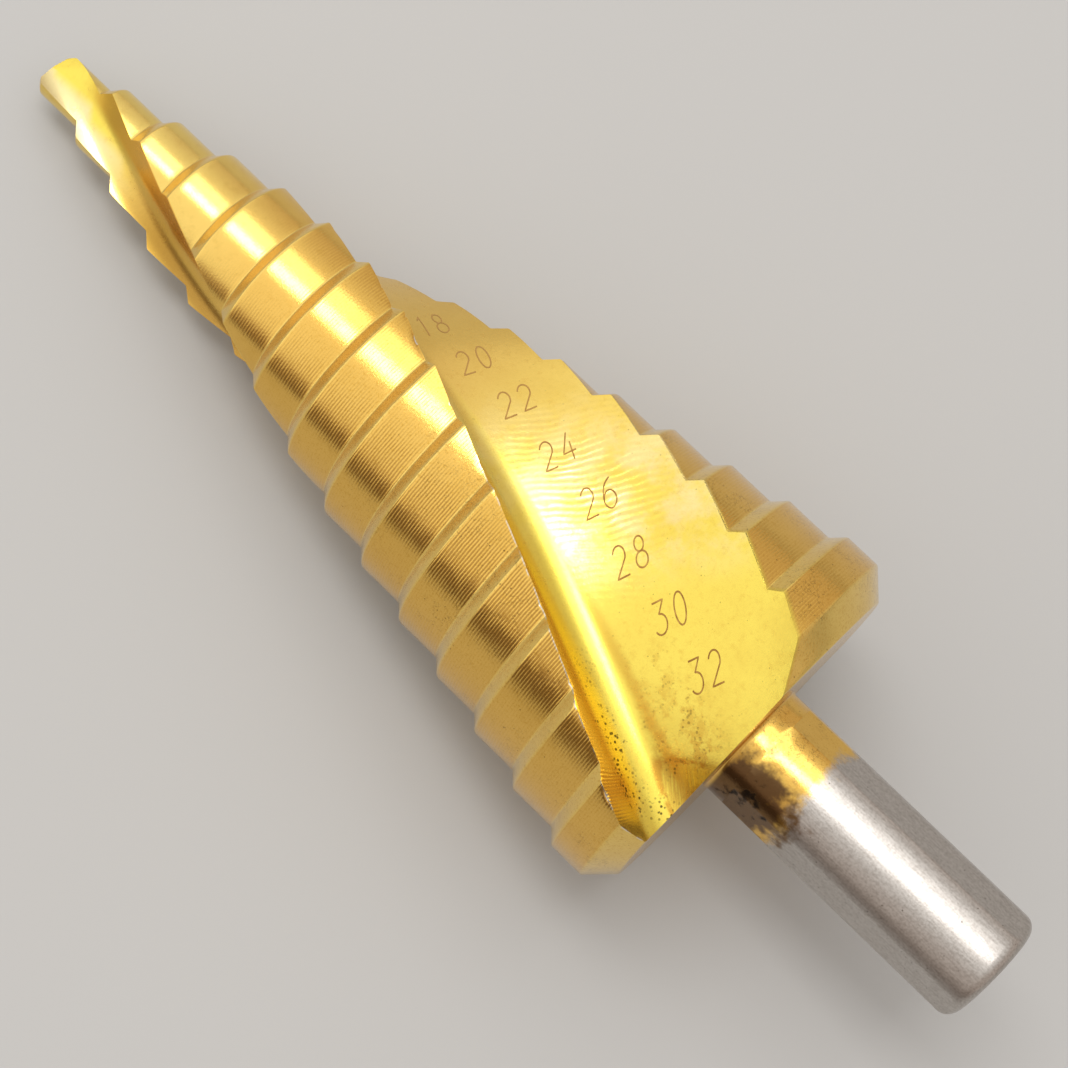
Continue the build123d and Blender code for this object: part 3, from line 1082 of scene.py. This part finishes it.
# Lines of each digit, in a box of width 1 and height 1 about its middle
DIGIT_STROKES = {
    "0": [bow(0, 0, 0.42, 0.5, 0, 360, 30)],
    "1": [[(-0.15, 0.3), (0.1, 0.5), (0.1, -0.5)]],
    "2": [bow(0, 0.2, 0.45, 0.3, 160, -30, 18) + [(-0.45, -0.5), (0.5, -0.5)]],
    "3": [[(-0.42, 0.5), (0.42, 0.5), (-0.05, 0.12)] + bow(-0.05, -0.19, 0.5, 0.31, 88, -150, 18)],
    "4": [[(0.15, 0.5), (-0.45, -0.2), (0.5, -0.2)], [(0.2, 0.15), (0.2, -0.5)]],
    "6": [
        [(0.3, 0.5)]
        + bow(0.35, -0.2, 0.8, 0.68, 105, 175, 8)
        + bow(0, -0.2, 0.45, 0.3, 180, 540, 26)
    ],
    "8": [bow(0, 0.26, 0.34, 0.24, -90, 270, 26), bow(0, -0.24, 0.44, 0.26, 90, 450, 26)],
}


def finely(line):
    """The same line with points no further apart than their spacing."""
    line = np.array(line)
    dense = [line[:1]]
    for start, end in zip(line, line[1:]):
        count = max(1, math.ceil(np.linalg.norm(end - start) / MARK_POINT_SPACING))
        dense.append(start + (end - start) * (np.arange(1, count + 1) / count)[:, None])
    return np.concatenate(dense)


def ribbon(points, width):
    """Left and right edges of a flat line of even width through points."""
    way = np.gradient(points, axis=0)
    way /= np.linalg.norm(way, axis=1, keepdims=True)
    side = np.stack([-way[:, 1], way[:, 0]], 1) * width / 2
    return points + side, points - side


def on_floor(flat, distance, across):
    """Points of a mark's own plane laid on the flute floor, just clear of it."""
    cosine, sine = math.cos(MARK_SLOPE), math.sin(MARK_SLOPE)
    w = across + flat[:, 0] * cosine + flat[:, 1] * sine
    z = distance + flat[:, 0] * sine - flat[:, 1] * cosine
    x, y = floor_point(z, w)
    opening = flute_angle(z)
    x = x + MARK_LIFT * np.sin(opening)
    y = y + MARK_LIFT * np.cos(opening)
    x, y = turned(x, y, cutting_edge_angle(z))
    return np.stack([x, y, z], 1)


def size_marks(material):
    points = []
    faces = []
    point_count = 0
    for size, distance, across in SIZE_MARKS:
        text = str(size)
        for place, digit in enumerate(text):
            shift = (place - (len(text) - 1) / 2) * MARK_ADVANCE
            for stroke in DIGIT_STROKES[digit]:
                line = [(shift + x * MARK_WIDTH, y * MARK_HEIGHT) for x, y in stroke]
                edges = ribbon(finely(line), MARK_STROKE)
                points += [on_floor(edge, distance, across) for edge in edges]
                count = len(edges[0])
                for k in range(point_count, point_count + count - 1):
                    faces.append((k, k + count, k + count + 1, k + 1))
                point_count += 2 * count
    mesh = bpy.data.meshes.new("size_marks")
    mesh.from_pydata(placed(np.concatenate(points)).tolist(), [], faces)
    piece = linked("size_marks", mesh, material)
    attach(piece, "root")


def burnt_mark():
    nodes = Nodes(bpy.data.materials.new("etched_mark"))
    place = drill_coordinates(nodes)
    z = nodes.split(place)[2]
    patch = nodes.noise(place, *MARK_NOISE)
    colour = nodes.mix(nodes.between(patch, *MARK_NOISE_LEVELS), MARK_BROWN, MARK_TAN)
    colour = nodes.mix(nodes.between(z, *FRONT_MARKS), colour, FRONT_MARK_TAN)
    roughness = nodes.lerp(patch, *MARK_ROUGHNESS)
    return nodes.surface(Base_Color=colour, Metallic=MARK_METALLIC, Roughness=roughness)


# ---------------------------------------------------------------- studio

VIEW_ALONG = 8.225  # degrees by which the shank end is nearer to the camera
VIEW_TURN = 43.858  # degrees that the drill's axis points down to the right in the picture
VIEW_AIM_DISTANCE = 50.0  # mm behind the tip
VIEW_AIM_OFFSET = (-2.499, -2.516)  # of that point from the picture's middle, right and down, mm
VIEW_DISTANCE = 188.66  # mm
LENS_MM = 83.43
SENSOR_MM = 36
CLIP_START = 0.01  # m, as all lengths below

FLOOR_HALF_SIZE = 3.0
FLOOR_GREYS = ((0.43, 0.425, 0.415, 1), (0.465, 0.46, 0.45, 1))
# painted shade: the floor turns to this darker grey far from the drill, over the distances in m
# below
FAR_FLOOR_SHADE = (0.35, 0.345, 0.34, 1)
FAR_SHADE_REACH = (0.09, 0.40)
FLOOR_NOISE = (3.0, 3.0)
FLOOR_ROUGHNESS = 0.9

# Lamps: degrees across and along, distance, width, length, radiance
SOFTBOXES = {
    "strip": (4, -16, 0.55, 0.13, 0.36, 6.0),
    "wide_strip": (16, -16, 0.60, 0.42, 0.44, 1.3),
}
SOFTBOX_AIM = (0, 0, 0.02)

# Studio walls: brightness and colour by direction
OVERHEAD_WAY = (0.985, 0.174)  # up and towards +Y
OVERHEAD = (0.60, 1.0)
SIDE_LEVELS = (0.64, 1.1)
LOW = (0.42, 0.26)
RIGHT = (-0.3, -0.8)
LOW_RIGHT_SHARE = 0.28
TIP_SIDE = (0.35, 0.9)
TIP_LEVELS = (1.15, 0.85)
TOWARDS_TIP = (0.0, -0.36)
TOWARDS_TIP_LOWERING = 0.25
WARM_LEVELS = (0.25, 1.0)
WARM_LIGHT = (1.0, 0.75, 0.60, 1)
PLAIN_LIGHT = (1.0, 0.985, 0.96, 1)


def make_camera():
    along = math.radians(VIEW_ALONG)
    turn = math.radians(VIEW_TURN)
    cos_turn, sin_turn = math.cos(turn), math.sin(turn)
    # the drill's own axes as seen in the picture: right, down and into it
    z_axis = np.array([cos_turn * math.cos(along), sin_turn * math.cos(along), -math.sin(along)])
    y_axis = -np.array([sin_turn, -cos_turn, 0])
    x_axis = np.array([-cos_turn * math.sin(along), -sin_turn * math.sin(along), -math.cos(along)])
    ways = np.stack([x_axis, y_axis, z_axis], 1)
    right, down, into = ways
    aim = np.array([0, 0, VIEW_AIM_DISTANCE])
    offset = np.array([*VIEW_AIM_OFFSET, VIEW_DISTANCE])
    eye = aim - offset @ ways
    turn_only = np.array(PLACEMENT)[:3, :3] / MM
    axes = turn_only @ np.stack([right, -down, -into], 1)
    matrix = Matrix(axes.tolist()).to_4x4()
    matrix.translation = Vector(placed(eye[None])[0])
    data = bpy.data.cameras.new("camera")
    data.lens = LENS_MM
    data.sensor_width = SENSOR_MM
    data.clip_start = CLIP_START
    camera = bpy.data.objects.new("camera", data)
    camera.matrix_world = matrix
    bpy.context.scene.collection.objects.link(camera)
    bpy.context.scene.camera = camera


def floor_material():
    nodes = Nodes(bpy.data.materials.new("pale_floor"))
    place = nodes.add("TexCoord").outputs["Object"]
    colour = nodes.mix(nodes.noise(place, *FLOOR_NOISE), *FLOOR_GREYS)
    # painted shade: darker floor far out
    far_shade = nodes.between(nodes.vector("LENGTH", place), *FAR_SHADE_REACH)
    colour = nodes.mix(far_shade, colour, FAR_FLOOR_SHADE)
    return nodes.surface(Base_Color=colour, Roughness=FLOOR_ROUGHNESS)


def make_floor():
    size = FLOOR_HALF_SIZE
    mesh = bpy.data.meshes.new("floor")
    corners = [(-size, -size, 0), (size, -size, 0), (size, size, 0), (-size, size, 0)]
    mesh.from_pydata(corners, [], [(0, 1, 2, 3)])
    linked("floor", mesh, floor_material())


def softbox(name, across, along, distance, width, length, radiance):
    """Lamp seen from the drill across degrees from straight up towards +Y and along towards +X."""
    across = math.radians(across)
    along = math.radians(along)
    flat = math.cos(along)
    way = Vector((math.sin(along), math.sin(across) * flat, math.cos(across) * flat))
    data = bpy.data.lights.new(name, "AREA")
    data.shape = "RECTANGLE"
    data.size = length
    data.size_y = width
    data.energy = radiance * math.pi * width * length
    lamp = bpy.data.objects.new(name, data)
    side = Vector((1, 0, 0)) - way * way.x
    side.normalize()
    axes = Matrix((side, way.cross(side), way)).transposed().to_4x4()
    axes.translation = Vector(SOFTBOX_AIM) + way * distance
    lamp.matrix_world = axes
    bpy.context.scene.collection.objects.link(lamp)


def make_world():
    """Studio of soft walls: bright beyond the tip and overhead, dim and warm low on the right."""
    world = bpy.data.worlds.new("studio")
    bpy.context.scene.world = world
    nodes = Nodes(world)
    x, y, z = nodes.split(nodes.add("TexCoord").outputs["Generated"])
    up, across = OVERHEAD_WAY
    overhead = nodes.math("MULTIPLY_ADD", z, up, nodes.product(y, across))
    side_level = nodes.lerp(nodes.between(overhead, *OVERHEAD), *SIDE_LEVELS)
    low_right = nodes.product(nodes.between(z, *LOW), nodes.between(y, *RIGHT))
    side_level = nodes.product(side_level, nodes.lerp(low_right, 1.0, LOW_RIGHT_SHARE))
    tip_level = nodes.lerp(nodes.between(y, *TIP_SIDE), *TIP_LEVELS)
    low = nodes.math("MULTIPLY_ADD", z, -TOWARDS_TIP_LOWERING, TOWARDS_TIP_LOWERING)
    towards_tip = nodes.between(nodes.math("ADD", x, low), *TOWARDS_TIP)
    level = nodes.lerp(towards_tip, side_level, tip_level)
    colour = nodes.mix(nodes.between(level, *WARM_LEVELS), WARM_LIGHT, PLAIN_LIGHT)
    background = nodes.add("Background", {"Strength": level, "Color": colour})
    nodes.add("OutputWorld", {"Surface": background.outputs[0]})


drill_piece(coated_steel())
size_marks(burnt_mark())
make_floor()
make_camera()
for lamp_name, lamp_facts in SOFTBOXES.items():
    softbox(lamp_name, *lamp_facts)
make_world()
bpy.context.scene.view_settings.view_transform = "Standard"
